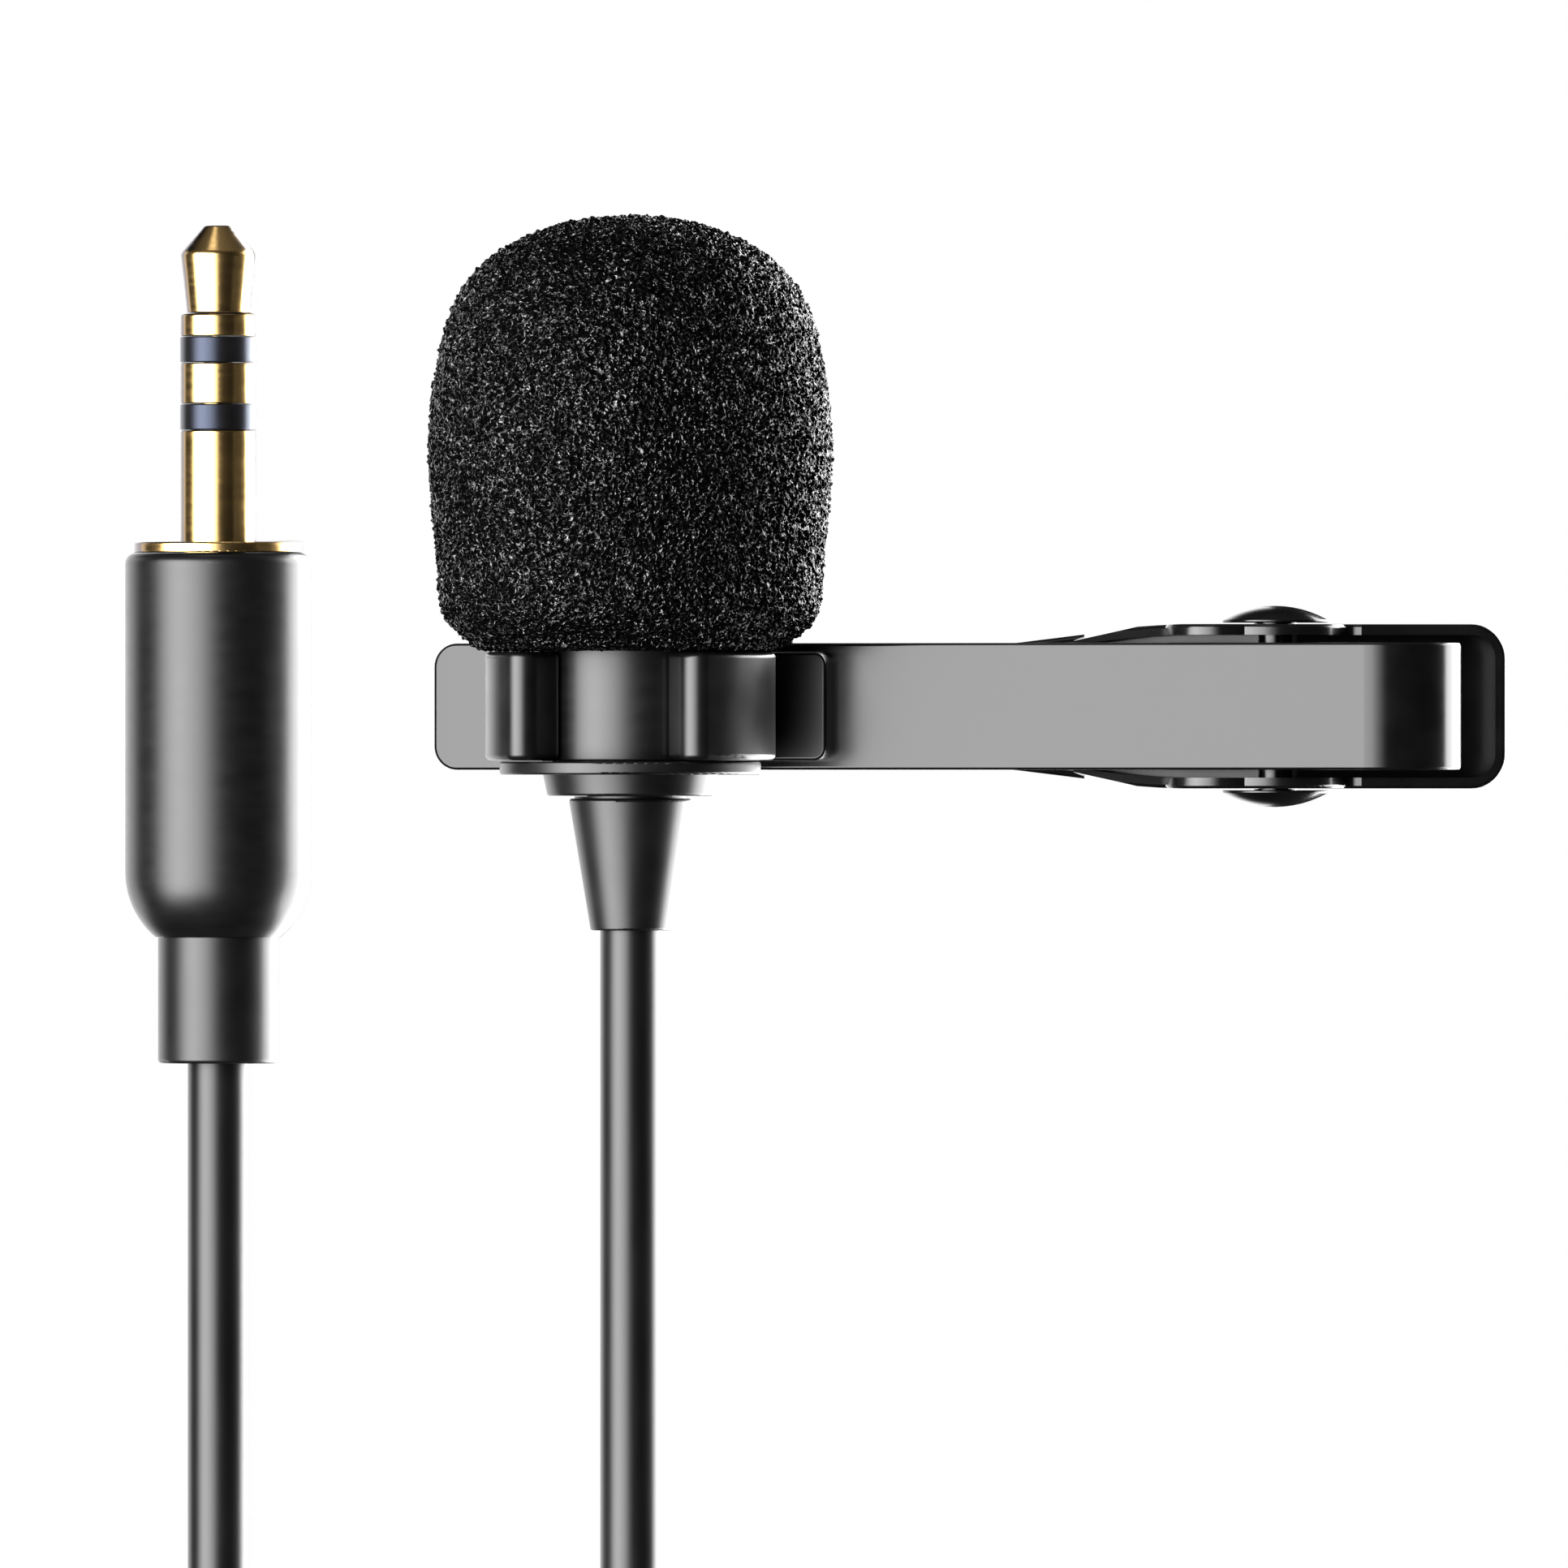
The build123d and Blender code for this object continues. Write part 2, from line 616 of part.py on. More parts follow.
def plug_tip():
    """Gold tip: nose cone, waist and collar, on a rod that runs down to the terminals."""
    rod = 0.42
    return turned(
        [
            (0, TIP_TOP_Z),
            (0.62, TIP_TOP_Z),
            (PLUG_RADIUS, 21.08),
            (1.45, 18.33),
            (PLUG_RADIUS, 18.22),
            (PLUG_RADIUS, TIP_BOTTOM_Z),
            (rod, TIP_BOTTOM_Z),
            (rod, 2.0),
            (0, 2.0),
        ],
        {1: 0.2, 2: 0.35, 3: 0.08, 4: 0.12, 5: 0.08},
        PLUG_X,
    )


def plug_band(top, bottom, inner, neck, low):
    """A band of the plug on a thinner tube that runs down inside the next one."""
    edge = PLUG_RADIUS
    return turned(
        [(inner, top), (edge, top), (edge, bottom), (neck, bottom), (neck, low), (inner, low)],
        {1: 0.08, 2: 0.08},
        PLUG_X,
    )


def plug_sleeve():
    """Sleeve contact with the gold shoulder disc and a short stub inside the shell."""
    inner = 1.3
    return turned(
        [
            (inner, SLEEVE_TOP_Z),
            (PLUG_RADIUS, SLEEVE_TOP_Z),
            (PLUG_RADIUS, SHOULDER_TOP_Z),
            (SHOULDER_DISC_RADIUS, SHOULDER_TOP_Z),
            (SHOULDER_DISC_RADIUS, SHOULDER_BOTTOM_Z),
            (2.4, SHOULDER_BOTTOM_Z),
            (2.4, 5.4),
            (inner, 5.4),
        ],
        {1: 0.08, 3: 0.12, 4: 0.08},
        PLUG_X,
    )


def plug_housing():
    """Turned shell, open at the top, drawn in at the bottom round the strain relief."""
    inner = SHELL_RADIUS - SHELL_WALL
    mouth = BOOT_RADIUS - 0.25
    foot = (BOOT_RADIUS + 0.12, SHELL_BOTTOM_Z)
    inset = SHELL_RADIUS - foot[0]
    drop = SHELL_STRAIGHT_Z - SHELL_BOTTOM_Z
    curve = (inset**2 + drop**2) / (2 * inset)
    halfway = asin(drop / curve) / 2
    middle = (SHELL_RADIUS - curve * (1 - cos(halfway)), SHELL_STRAIGHT_Z - curve * sin(halfway))
    rim = SHOULDER_BOTTOM_Z - SNUG
    cut = SHELL_EDGE * (1 - cos(radians(45)))
    edges = [
        Line((inner, rim), (SHELL_RADIUS - SHELL_EDGE, rim)),
        ThreePointArc(
            (SHELL_RADIUS - SHELL_EDGE, rim),
            (SHELL_RADIUS - cut, rim - cut),
            (SHELL_RADIUS, rim - SHELL_EDGE),
        ),
        Line((SHELL_RADIUS, rim - SHELL_EDGE), (SHELL_RADIUS, SHELL_STRAIGHT_Z)),
        ThreePointArc((SHELL_RADIUS, SHELL_STRAIGHT_Z), middle, foot),
        Line(foot, (mouth, SHELL_BOTTOM_Z)),
        Line((mouth, SHELL_BOTTOM_Z), (mouth, SHELL_BOTTOM_Z + 1.2)),
        Line((mouth, SHELL_BOTTOM_Z + 1.2), (inner, SHELL_STRAIGHT_Z)),
        Line((inner, SHELL_STRAIGHT_Z), (inner, rim)),
    ]
    return Pos(PLUG_X, MIC_Y, 0) * revolve(Plane.XZ * make_face(edges), Axis.Z)


def plug_strain_relief():
    """Rubber sleeve on the cable, with a bead held inside the shell."""
    hole = CABLE_RADIUS + SNUG
    neck = BOOT_RADIUS - 0.25 - SNUG
    shell = SHELL_BOTTOM_Z - SNUG
    return turned(
        [
            (hole, -7.4),
            (3.2, -7.4),
            (3.2, -8.0),
            (neck, -8.9),
            (neck, shell),
            (BOOT_RADIUS, shell),
            (BOOT_RADIUS, BOOT_BOTTOM_Z),
            (hole, BOOT_BOTTOM_Z),
        ],
        {6: 0.2},
        PLUG_X,
    )


def plug_core():
    """Moulded insulator in the shell that holds the contacts in line."""
    return turned(
        [
            (0.72 + SNUG, 5.4 - SNUG),
            (3.4, 5.4 - SNUG),
            (3.4, 3.4),
            (0.72 + SNUG, 3.4),
        ],
        None,
        PLUG_X,
    )


def plug_terminals():
    """Three solder lugs under the insulator."""
    lugs = []
    for angle in (90, 210, 330):
        lug = Pos(2.2, 0, 2.35) * Box(0.3, 1.2, 2.0) - Pos(2.2, 0, 1.9) * Rot(0, 90, 0) * Cylinder(0.3, 2)
        lugs.append(Pos(PLUG_X, MIC_Y, 0) * Rot(0, 0, angle) * lug)
    return Compound(children=lugs)


def plug_wires():
    """Three insulated wires from the cable's end to the solder lugs."""
    wires = []
    for angle in (90, 210, 330):
        turn = Rot(0, 0, angle)
        foot = Vector(0.72, 0, CABLE_PLUG_END_Z + SNUG)
        head = Vector(1.6, 0, 2.3)
        path = Spline(foot, head, tangents=[(0, 0, 1), (0, 0, 1)])
        wire = sweep(Plane(foot, z_dir=(0, 0, 1)) * Circle(0.35), path=path)
        wires.append(Pos(PLUG_X, MIC_Y, 0) * turn * wire)
    return Compound(children=wires)


def cable_crimp():
    """Metal crimp on the cable that takes the pull inside the shell."""
    return tube(2.0, CABLE_RADIUS + SNUG, -6.9, -5.1, 0.1, PLUG_X)


# ---------------------------------------------------------------- cable


def hank_point(turned_by):
    """Point on the hank's centre line after a turn of so many degrees, clockwise from the front."""
    around = radians(HANK_ENTRY_ANGLE - turned_by)
    lay = radians(HANK_LAY_START + HANK_LAY * turned_by / 360)
    reach = HANK_RADIUS + HANK_BUNDLE_RADIUS * cos(lay)
    x = PLUG_X / 2 + reach * cos(around)
    return Vector(x, MIC_Y + HANK_BUNDLE_RADIUS * sin(lay), HANK_Z + reach * sin(around))


def hank_direction(turned_by):
    step = 0.01
    return (hank_point(turned_by + step) - hank_point(turned_by - step)).normalized()


def cable_path():
    """Down from the microphone, round the hank and up into the plug."""
    total = 360 * HANK_TURNS
    mic_end = Vector(0, MIC_Y, CABLE_TOP_Z)
    mic_drop = Vector(0, MIC_Y, LEAD_STRAIGHT_Z)
    plug_drop = Vector(PLUG_X, MIC_Y, LEAD_STRAIGHT_Z)
    plug_end = Vector(PLUG_X, MIC_Y, CABLE_PLUG_END_Z)
    down = Vector(0, 0, -1)
    pieces = [Line(mic_end, mic_drop)]
    pieces.append(Spline(mic_drop, hank_point(0), tangents=[down, hank_direction(0)]))
    stretch = 90
    for number in range(round(total / stretch)):
        start = number * stretch
        spots = [hank_point(start + part * stretch / 4) for part in range(5)]
        ends = [hank_direction(start), hank_direction(start + stretch)]
        pieces.append(Spline(*spots, tangents=ends))
    pieces.append(Spline(hank_point(total), plug_drop, tangents=[hank_direction(total), -down]))
    pieces.append(Line(plug_drop, plug_end))
    return Wire(pieces)


def cable():
    path = cable_path()
    section = Plane(path @ 0, z_dir=path % 0) * Circle(CABLE_RADIUS)
    return sweep(section, path=path)


# ---------------------------------------------------------------- all pieces

NODES = {
    "clip_arm": clip_arm,
    "mic_clamp": mic_clamp,
    "clamp_rivets": clamp_rivets,
    "pivot_bracket": pivot_bracket,
    "hinge_pin": hinge_pin,
    "torsion_spring": torsion_spring,
    "clip_lever": clip_lever,
    "windscreen": windscreen,
    "mic_housing": mic_housing,
    "mic_grille": mic_grille,
    "mic_base": mic_base,
    "strain_relief": strain_relief,
    "capsule_boot": capsule_boot,
    "capsule_can": capsule_can,
    "dust_felt": lambda: capsule_disc(2.9, 0, CAPSULE_TOP_Z + 0.2 + SNUG, 0.2),
    "diaphragm": lambda: capsule_disc(2.7, 0, CAPSULE_TOP_Z - CAPSULE_WALL - 0.02, 0.06),
    "spacer_ring": lambda: capsule_disc(2.7, 2.25, CAPSULE_TOP_Z - 0.35, 0.25),
    "backplate": backplate,
    "capsule_insulator": lambda: capsule_disc(2.7, 2.3, CAPSULE_TOP_Z - 0.62, 1.7),
    "jfet": jfet,
    "capsule_board": lambda: capsule_disc(2.7, 0, CAPSULE_BOTTOM_Z + 0.34, 0.34),
    "mic_wires": mic_wires,
    "cable": cable,
    "plug_tip": plug_tip,
    "tip_insulator": lambda: plug_band(TIP_BOTTOM_Z - SNUG, RING_TOP_Z + SNUG, 0.44, 0.68, 3.0),
    "plug_ring": lambda: plug_band(RING_TOP_Z, RING_BOTTOM_Z, 0.7, 0.96, 5.6),
    "ring_insulator": lambda: plug_band(RING_BOTTOM_Z - SNUG, SLEEVE_TOP_Z + SNUG, 0.98, 1.28, 5.6),
    "plug_sleeve": plug_sleeve,
    "plug_core": plug_core,
    "plug_terminals": plug_terminals,
    "plug_wires": plug_wires,
    "cable_crimp": cable_crimp,
    "plug_housing": plug_housing,
    "plug_strain_relief": plug_strain_relief,
}

os.makedirs("parts", exist_ok=True)
for name, make in NODES.items():
    export_step(make(), f"parts/{name}.step")
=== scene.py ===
import math

import bpy
import numpy as np
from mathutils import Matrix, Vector, noise
from mathutils.bvhtree import BVHTree
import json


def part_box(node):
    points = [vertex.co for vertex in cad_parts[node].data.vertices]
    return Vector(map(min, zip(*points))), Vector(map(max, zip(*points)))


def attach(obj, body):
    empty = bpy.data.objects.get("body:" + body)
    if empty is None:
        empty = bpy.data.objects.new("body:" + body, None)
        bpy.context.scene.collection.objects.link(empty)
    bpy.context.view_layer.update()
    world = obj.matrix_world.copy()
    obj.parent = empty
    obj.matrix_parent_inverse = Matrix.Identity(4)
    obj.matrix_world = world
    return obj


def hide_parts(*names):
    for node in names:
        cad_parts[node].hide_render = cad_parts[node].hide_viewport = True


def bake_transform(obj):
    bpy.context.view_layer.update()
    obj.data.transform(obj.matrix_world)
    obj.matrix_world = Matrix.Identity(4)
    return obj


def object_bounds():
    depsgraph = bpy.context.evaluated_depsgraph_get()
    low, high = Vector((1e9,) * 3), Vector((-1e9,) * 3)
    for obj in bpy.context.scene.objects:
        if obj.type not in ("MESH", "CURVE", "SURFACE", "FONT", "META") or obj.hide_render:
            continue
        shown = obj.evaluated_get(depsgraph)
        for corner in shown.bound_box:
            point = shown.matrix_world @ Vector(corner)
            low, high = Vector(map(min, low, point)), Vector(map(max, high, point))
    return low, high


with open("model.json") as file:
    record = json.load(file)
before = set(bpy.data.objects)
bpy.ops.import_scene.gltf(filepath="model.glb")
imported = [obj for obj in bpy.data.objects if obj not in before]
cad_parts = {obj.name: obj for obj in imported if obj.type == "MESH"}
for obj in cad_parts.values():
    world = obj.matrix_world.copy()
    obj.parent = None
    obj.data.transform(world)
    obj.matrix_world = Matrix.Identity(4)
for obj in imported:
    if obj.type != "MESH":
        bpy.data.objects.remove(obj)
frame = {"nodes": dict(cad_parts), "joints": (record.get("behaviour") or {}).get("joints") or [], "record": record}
CAD_BOUNDS = [list(corner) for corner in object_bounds()]
NODES = frame["nodes"]
BODY_OF = {node: body for body, nodes in frame["record"]["behaviour"]["bodies"].items() for node in nodes}
JOINTS = {joint["name"]: joint for joint in frame["joints"]}
MM = 0.001

# Places read from the frame
MIC_AXIS = Vector(JOINTS["mic_turn"]["pos_m"])
PLUG_AXIS = Vector(JOINTS["plug_swing"]["pos_m"])

# Camera: a long lens, level with the clip and a little round to the tail's side
VIEW_AZIMUTH = math.radians(14)
IMAGE_WIDTH = 72.72 * MM
IMAGE_CENTRE_RIGHT = 7.13 * MM
IMAGE_CENTRE_UP = -3.61 * MM
CAMERA_DISTANCE = 1.6
SENSOR_WIDTH = 36.0

# Panel behind and to the right: degrees round from the camera, and degrees up and down
RIM_FROM = 100
RIM_TO = 165
RIM_RISE = 35
RIM_DISTANCE = 1.0

# Cable: where the straights end and where it is cut in pieces, and how far its bends are spread
CABLE_RADIUS = 1.4 * MM
CABLE_SIDES = 32
CABLE_STEP = 0.6 * MM
CABLE_CAP_GAP = 0.04 * MM
CABLE_BEND_Z = -40.6 * MM
CABLE_CUT_Z = CABLE_BEND_Z + 0.3 * MM
CABLE_TOP_IN_CRIMP = 0.6 * MM
EASE_STEPS = 24
HANK_STEPS = 1400

# Foam: spacing of its points outside and in the bore, cells per millimetre, and depth of the relief
FOAM_SPACING = 0.072 * MM
BORE_SPACING = 0.4 * MM
BORE_GAP = 0.06 * MM
BORE_PROBE_RISE = 0.4 * MM
FOAM_CELLS = 3.3
FOAM_DEPTH = 0.22 * MM
FOAM_LEVEL = 0.45
FOAM_FADE_RINGS = 6
FOAM_FLAT_RINGS = 4

# Strengths of the lights
KEY_STRENGTH = 13.5
BACK_STRENGTH = 2.0
ABOVE_STRENGTH = 0.12
LAMP_STRENGTH = 1.6
AMBIENT_STRENGTH = 0.012
RIM_STRENGTH = 11.5
RIM_FOAM_STRENGTH = 10.0

FLOOR_HALF_SIZE = 1.8
FLOOR_DROP = 2 * MM


# ---------------------------------------------------------------- node helpers


def principled(tree):
    return next(node for node in tree.nodes if node.type == "BSDF_PRINCIPLED")


def new_material(name):
    """A new material, its node tree and its Principled shader."""
    material = bpy.data.materials.new(name)
    material.use_nodes = True
    tree = material.node_tree
    return material, tree, principled(tree)


def add(tree, kind, inputs=None, **settings):
    """Adds a node, sets its properties and its unlinked inputs."""
    node = tree.nodes.new(kind)
    for key, value in settings.items():
        setattr(node, key, value)
    for key, value in (inputs or {}).items():
        if isinstance(value, bpy.types.NodeSocket):
            tree.links.new(value, node.inputs[key])
        else:
            node.inputs[key].default_value = value
    return node


def place(tree, stretch=(1, 1, 1)):
    """Object coordinates in millimetres, stretched where grain runs one way."""
    coordinates = add(tree, "ShaderNodeTexCoord")
    scale = tuple(value / MM for value in stretch)
    mapping = add(tree, "ShaderNodeMapping", {"Vector": coordinates.outputs["Object"], "Scale": scale})
    return mapping.outputs["Vector"]


def noise_value(tree, vector, scale, detail=2.0, rough=0.5):
    settings = {"Vector": vector, "Scale": scale, "Detail": detail, "Roughness": rough}
    return add(tree, "ShaderNodeTexNoise", settings).outputs["Fac"]


def ramp(tree, value, low, high, start=0.0, end=1.0):
    """Maps a value from low..high to start..end."""
    node = add(
        tree,
        "ShaderNodeMapRange",
        {"Value": value, "From Min": low, "From Max": high, "To Min": start, "To Max": end},
    )
    return node.outputs["Result"]


def product(tree, first, second):
    return add(tree, "ShaderNodeMath", {0: first, 1: second}, operation="MULTIPLY").outputs[0]


def total(tree, *values):
    result = values[0]
    for value in values[1:]:
        result = add(tree, "ShaderNodeMath", {0: result, 1: value}, operation="ADD").outputs[0]
    return result


def dot(tree, first, second):
    node = add(tree, "ShaderNodeVectorMath", {0: first, 1: second}, operation="DOT_PRODUCT")
    return node.outputs["Value"]


def mix_colour(tree, share, first, second):
    node = add(tree, "ShaderNodeMix", data_type="RGBA")
    tree.links.new(share, node.inputs[0])
    node.inputs[6].default_value = (*first, 1)
    node.inputs[7].default_value = (*second, 1)
    return node.outputs[2]


def bump(tree, height, strength, distance):
    node = add(tree, "ShaderNodeBump", {"Height": height, "Strength": strength, "Distance": distance})
    return node.outputs["Normal"]


# ---------------------------------------------------------------- materials


def coated(name, colour, second, roughness, spread, grain=3.0, depth=0.002, stretch=(1, 1, 1)):
    """Paint, plastic or rubber: slight mottling in colour and gloss, and a fine surface grain."""
    material, tree, shader = new_material(name)
    vector = place(tree, stretch)
    broad = noise_value(tree, vector, 0.6, 3.0)
    fine = noise_value(tree, vector, grain, 3.0, 0.6)
    mottled = mix_colour(tree, ramp(tree, broad, 0.35, 0.65), colour, second)
    tree.links.new(mottled, shader.inputs["Base Color"])
    gloss = ramp(tree, broad, 0.3, 0.7, roughness - spread, roughness + spread)
    tree.links.new(gloss, shader.inputs["Roughness"])
    tree.links.new(bump(tree, fine, 0.5, depth * MM), shader.inputs["Normal"])
    return material


def metal(name, colour, second, roughness, spread, stretch=(1, 1, 1), grain=6.0, depth=0.0015):
    """Bare or plated metal with turning or drawing lines along the stretched direction."""
    material = coated(name, colour, second, roughness, spread, grain, depth, stretch)
    principled(material.node_tree).inputs["Metallic"].default_value = 1.0
    return material


def plated(name):
    """Gold plating, its colour turned to a greyer tone where it faces away from the eye: painted shade standing in
    for the dimmer reflection at its edges.
    """
    material = metal(name, (1.0, 0.66, 0.26), (0.96, 0.62, 0.235), 0.2, 0.03, (1, 1, 8), 2.5, 0.0006)
    tree = material.node_tree
    shader = principled(tree)
    # Painted shade: the colour is mixed towards a dark grey at grazing angles, standing in for the dim reflection
    # there
    facing = add(tree, "ShaderNodeLayerWeight", {"Blend": 0.5}).outputs["Facing"]
    turned = add(tree, "ShaderNodeMix", data_type="RGBA")
    tree.links.new(ramp(tree, facing, 0.4, 0.6), turned.inputs[0])
    tree.links.new(shader.inputs["Base Color"].links[0].from_socket, turned.inputs[6])
    turned.inputs[7].default_value = (0.13, 0.11, 0.11, 1)
    tree.links.new(turned.outputs[2], shader.inputs["Base Color"])
    return material


def tinted_plastic(name):
    """Dark plastic whose shine is blue, as the plug's insulating bands."""
    material = coated(name, (0.004, 0.0035, 0.003), (0.006, 0.005, 0.0045), 0.3, 0.02)
    principled(material.node_tree).inputs["Specular Tint"].default_value = (0.6, 0.7, 1.0, 1)
    return material


def foam_material():
    """Black open-cell foam: glossy cell walls, with the pores between them darkened by painted shade for the
    shadow inside them.
    """
    material, tree, shader = new_material("foam")
    vector = place(tree)
    grains = noise_value(tree, vector, 5.2, 1.0, 0.5)
    cells = {"Vector": vector, "Scale": 4.4}
    strands = add(tree, "ShaderNodeTexVoronoi", cells, feature="DISTANCE_TO_EDGE")
    strand = ramp(tree, strands.outputs["Distance"], 0.0, 0.2, 1.0, 0.0)
    height = total(tree, product(tree, strand, 0.3), grains)
    shine = noise_value(tree, vector, 2.6, 2.0, 0.6)
    clumps = ramp(tree, noise_value(tree, vector, 0.5, 2.0), 0.35, 0.65, 0.53, 0.86)
    # Painted shade: no shine in the pores and on the low relief, standing in for the shadow inside the pores that
    # the bump cannot cast
    lit = product(tree, ramp(tree, height, 0.6, 0.8), ramp(tree, shine, 0.42, 0.62, 0.25, 1.6))
    # Painted shade as well: the colour is a little darker where the grain relief is low
    colour = mix_colour(tree, grains, (0.0006, 0.0006, 0.0006), (0.002, 0.002, 0.0021))
    tree.links.new(colour, shader.inputs["Base Color"])
    tree.links.new(product(tree, lit, clumps), shader.inputs["Specular IOR Level"])
    shader.inputs["Roughness"].default_value = 0.2
    tree.links.new(bump(tree, height, 1.0, 0.1 * MM), shader.inputs["Normal"])
    return material


def make_materials():
    black = (0.0025, 0.0025, 0.0027)
    grey = (0.004, 0.004, 0.0042)
    return {
        "black_steel": coated("black_steel", black, grey, 0.18, 0.01, 2.2, 0.0004),
        "black_plastic": coated("black_plastic", black, grey, 0.3, 0.02, 4.0, 0.0008),
        "black_aluminium": coated("black_aluminium", black, grey, 0.33, 0.015, 5.0, 0.001, (1, 1, 3)),
        "plug_shell": coated("plug_shell", black, grey, 0.33, 0.015, 5.0, 0.001, (1, 1, 3)),
        "black_rubber": coated("black_rubber", black, grey, 0.35, 0.015, 6.0, 0.001),
        "cable_jacket": coated("cable_jacket", black, grey, 0.33, 0.015, 4.0, 0.001, (2, 2, 0.4)),
        "foam": foam_material(),
        "gold": plated("gold"),
        "band_plastic": tinted_plastic("band_plastic"),
        "spring_steel": metal("spring_steel", (0.55, 0.55, 0.57), (0.45, 0.45, 0.46), 0.25, 0.05),
        "rivet_steel": metal("rivet_steel", (0.6, 0.6, 0.6), (0.5, 0.5, 0.5), 0.3, 0.05),
        "can_aluminium": metal("can_aluminium", (0.8, 0.81, 0.82), (0.72, 0.73, 0.75), 0.28, 0.05),
        "white_plastic": coated("white_plastic", (0.7, 0.69, 0.66), (0.66, 0.65, 0.62), 0.45, 0.05),
        "backplate_brass": metal("backplate_brass", (0.8, 0.66, 0.4), (0.7, 0.58, 0.36), 0.3, 0.05),
        "film": metal("film", (0.8, 0.78, 0.7), (0.75, 0.73, 0.66), 0.2, 0.02),
        "board": coated("board", (0.02, 0.16, 0.05), (0.03, 0.2, 0.07), 0.4, 0.05),
        "chip": coated("chip", (0.02, 0.02, 0.02), (0.03, 0.03, 0.03), 0.5, 0.05),
        "wire_skin": coated("wire_skin", (0.5, 0.03, 0.02), (0.45, 0.025, 0.02), 0.35, 0.05),
        "felt": coated("felt", (0.01, 0.01, 0.01), (0.02, 0.02, 0.02), 0.9, 0.05, 12.0, 0.03),
    }


def paint_nodes(materials):
    """Gives every CAD node the finish of its material slot."""
    slots = {part["node"]: part["material_slot"] for part in frame["record"]["subparts"]}
    for name, node in NODES.items():
        node.data.materials.clear()
        node.data.materials.append(materials[slots[name]])


# ---------------------------------------------------------------- pieces


def new_piece(name, vertices, faces, material):
    mesh = bpy.data.meshes.new(name)
    mesh.from_pydata(vertices, [], faces)
    mesh.validate()
    mesh.polygons.foreach_set("use_smooth", [True] * len(mesh.polygons))
    mesh.materials.append(material)
    piece = bpy.data.objects.new(name, mesh)
    bpy.context.scene.collection.objects.link(piece)
    return piece


def cable_piece(name, path, material):
    """A round cable along a path of points, its ring of vertices carried along without twist."""
    points = [Vector(point) for point in path]
    points.insert(1, points[0] + (points[1] - points[0]).normalized() * CABLE_CAP_GAP)
    points.insert(-1, points[-1] + (points[-2] - points[-1]).normalized() * CABLE_CAP_GAP)
    tangents = []
    for number in range(len(points)):
        before = points[max(number - 1, 0)]
        after = points[min(number + 1, len(points) - 1)]
        tangents.append((after - before).normalized())
    side = tangents[0].orthogonal().normalized()
    vertices = []
    for number, (point, tangent) in enumerate(zip(points, tangents)):
        if number:
            side = tangents[number - 1].rotation_difference(tangent) @ side
            side = (side - tangent * side.dot(tangent)).normalized()
        other = tangent.cross(side)
        for step in range(CABLE_SIDES):
            angle = 2 * math.pi * step / CABLE_SIDES
            vertices.append(point + CABLE_RADIUS * (side * math.cos(angle) + other * math.sin(angle)))
    faces = []
    for ring in range(len(points) - 1):
        for step in range(CABLE_SIDES):
            a = ring * CABLE_SIDES + step
            b = ring * CABLE_SIDES + (step + 1) % CABLE_SIDES
            faces.append((a, b, b + CABLE_SIDES, a + CABLE_SIDES))
    faces.append(tuple(reversed(range(CABLE_SIDES))))
    last = (len(points) - 1) * CABLE_SIDES
    faces.append(tuple(range(last, last + CABLE_SIDES)))
    tube = new_piece(name, vertices, faces, material)
    for cap in list(tube.data.polygons)[-2:]:
        cap.use_smooth = False
    return tube


class Hank:
    """Centre line of the wound cable, sized from the cable's own box."""

    TURNS = 8.75
    ENTRY = 45
    LAY = 40
    LAY_START = 5

    def __init__(self):
        low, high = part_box("cable")
        self.bundle = (high.y - low.y) / 2 - CABLE_RADIUS
        self.radius = (high.x - low.x) / 2 - CABLE_RADIUS - self.bundle
        self.x = PLUG_AXIS.x / 2
        self.y = MIC_AXIS.y
        self.z = low.z + (high.x - low.x) / 2

    def point(self, turned):
        around = math.radians(self.ENTRY - turned)
        lay = math.radians(self.LAY_START + self.LAY * turned / 360)
        reach = self.radius + self.bundle * math.cos(lay)
        x = self.x + reach * math.cos(around)
        return Vector((x, self.y + self.bundle * math.sin(lay), self.z + reach * math.sin(around)))

    def direction(self, turned):
        return (self.point(turned + 0.01) - self.point(turned - 0.01)).normalized()


def eased(start, start_way, end, end_way):
    """Points of a cubic curve that leaves start and meets end in the given directions."""
    reach = (end - start).length
    points = []
    for number in range(1, EASE_STEPS):
        t = number / EASE_STEPS
        h1 = 2 * t**3 - 3 * t**2 + 1
        h2 = t**3 - 2 * t**2 + t
        h3 = 3 * t**2 - 2 * t**3
        h4 = t**3 - t**2
        points.append(start * h1 + start_way * (reach * h2) + end * h3 + end_way * (reach * h4))
    return points


def straight(start, end):
    count = max(2, round((end - start).length / CABLE_STEP))
    return [start.lerp(end, number / count) for number in range(count + 1)]


